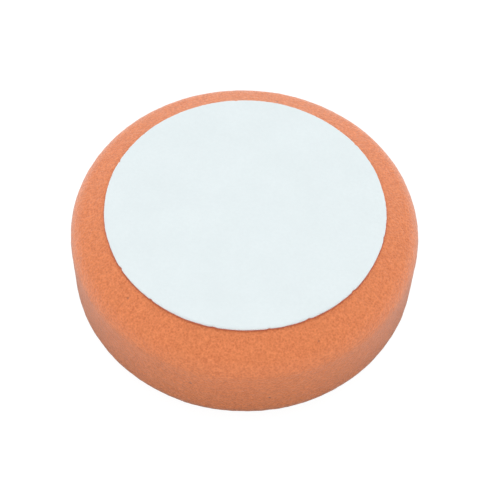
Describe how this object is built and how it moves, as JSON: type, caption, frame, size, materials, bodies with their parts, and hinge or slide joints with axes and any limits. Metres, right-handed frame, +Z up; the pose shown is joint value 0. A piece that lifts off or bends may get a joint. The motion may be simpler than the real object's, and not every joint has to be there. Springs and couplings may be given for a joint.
{
  "type": "polishing pad",
  "caption": "Round foam polishing pad with a sloping shoulder, a rounded working edge and a flat loop-fabric backing for a hook-faced backing plate.",
  "frame": {"origin": "centre of the polishing face, on the surface that the pad rests on", "axes": "+Z up along the spin axis, from the polishing face to the loop backing; +X and +Y are two arbitrary directions across the round pad"},
  "size_m": [0.15, 0.15, 0.05],
  "materials": {
    "foam": "matte orange open-cell polyurethane foam, fine grain with a few larger pores",
    "hot_melt_film": "hot-melt adhesive film that has soaked into the orange foam, a thin darker line at its cut edge",
    "loop_ground": "fine knitted ground, seen only at the cut edge",
    "loop_pile": "brushed pale bluish-white nylon loops, matte with a soft sheen"
  },
  "bodies": {
    "root": {"foam_body": "foam", "adhesive_film": "hot_melt_film", "loop_ground_cloth": "loop_ground", "loop_pile": "loop_pile"}
  },
  "joints": []
}
